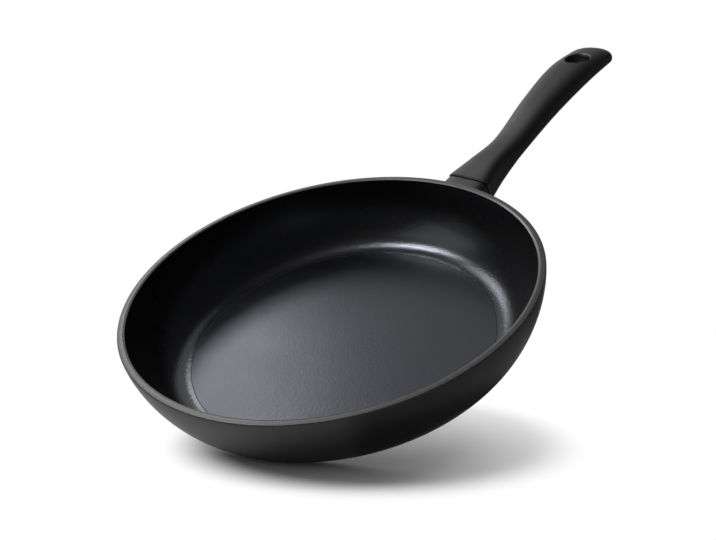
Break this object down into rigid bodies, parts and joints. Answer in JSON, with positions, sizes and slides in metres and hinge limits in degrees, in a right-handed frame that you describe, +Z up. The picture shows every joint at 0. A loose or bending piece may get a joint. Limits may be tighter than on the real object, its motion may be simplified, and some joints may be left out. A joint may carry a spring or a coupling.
{
  "type": "non-stick frying pan",
  "caption": "Round frying pan with a thick coated aluminium body, pale ground rim, black flame guard and a waisted moulded handle with a hanging hole.",
  "frame": {"origin": "centre of the underside, on the surface that the pan stands on", "axes": "+Z up out of the pan, +X from the pan's centre along the handle, +Y across"},
  "size_m": [0.4885, 0.28, 0.0865],
  "materials": {
    "coated_aluminium": "black non-stick coating with a fine speckle",
    "disc_steel": "turned",
    "bare_aluminium": "as cast",
    "guard_lacquer": "matt black lacquer",
    "phenolic": "fine moulded satin",
    "fastener_steel": "zinc plated"
  },
  "bodies": {
    "root": {"pan_body": "coated_aluminium", "induction_disc": "disc_steel", "handle_stud": "bare_aluminium", "flame_guard": "guard_lacquer", "handle": "phenolic", "handle_screw": "fastener_steel", "flat_washer": "fastener_steel", "spring_washer": "fastener_steel"}
  },
  "joints": []
}
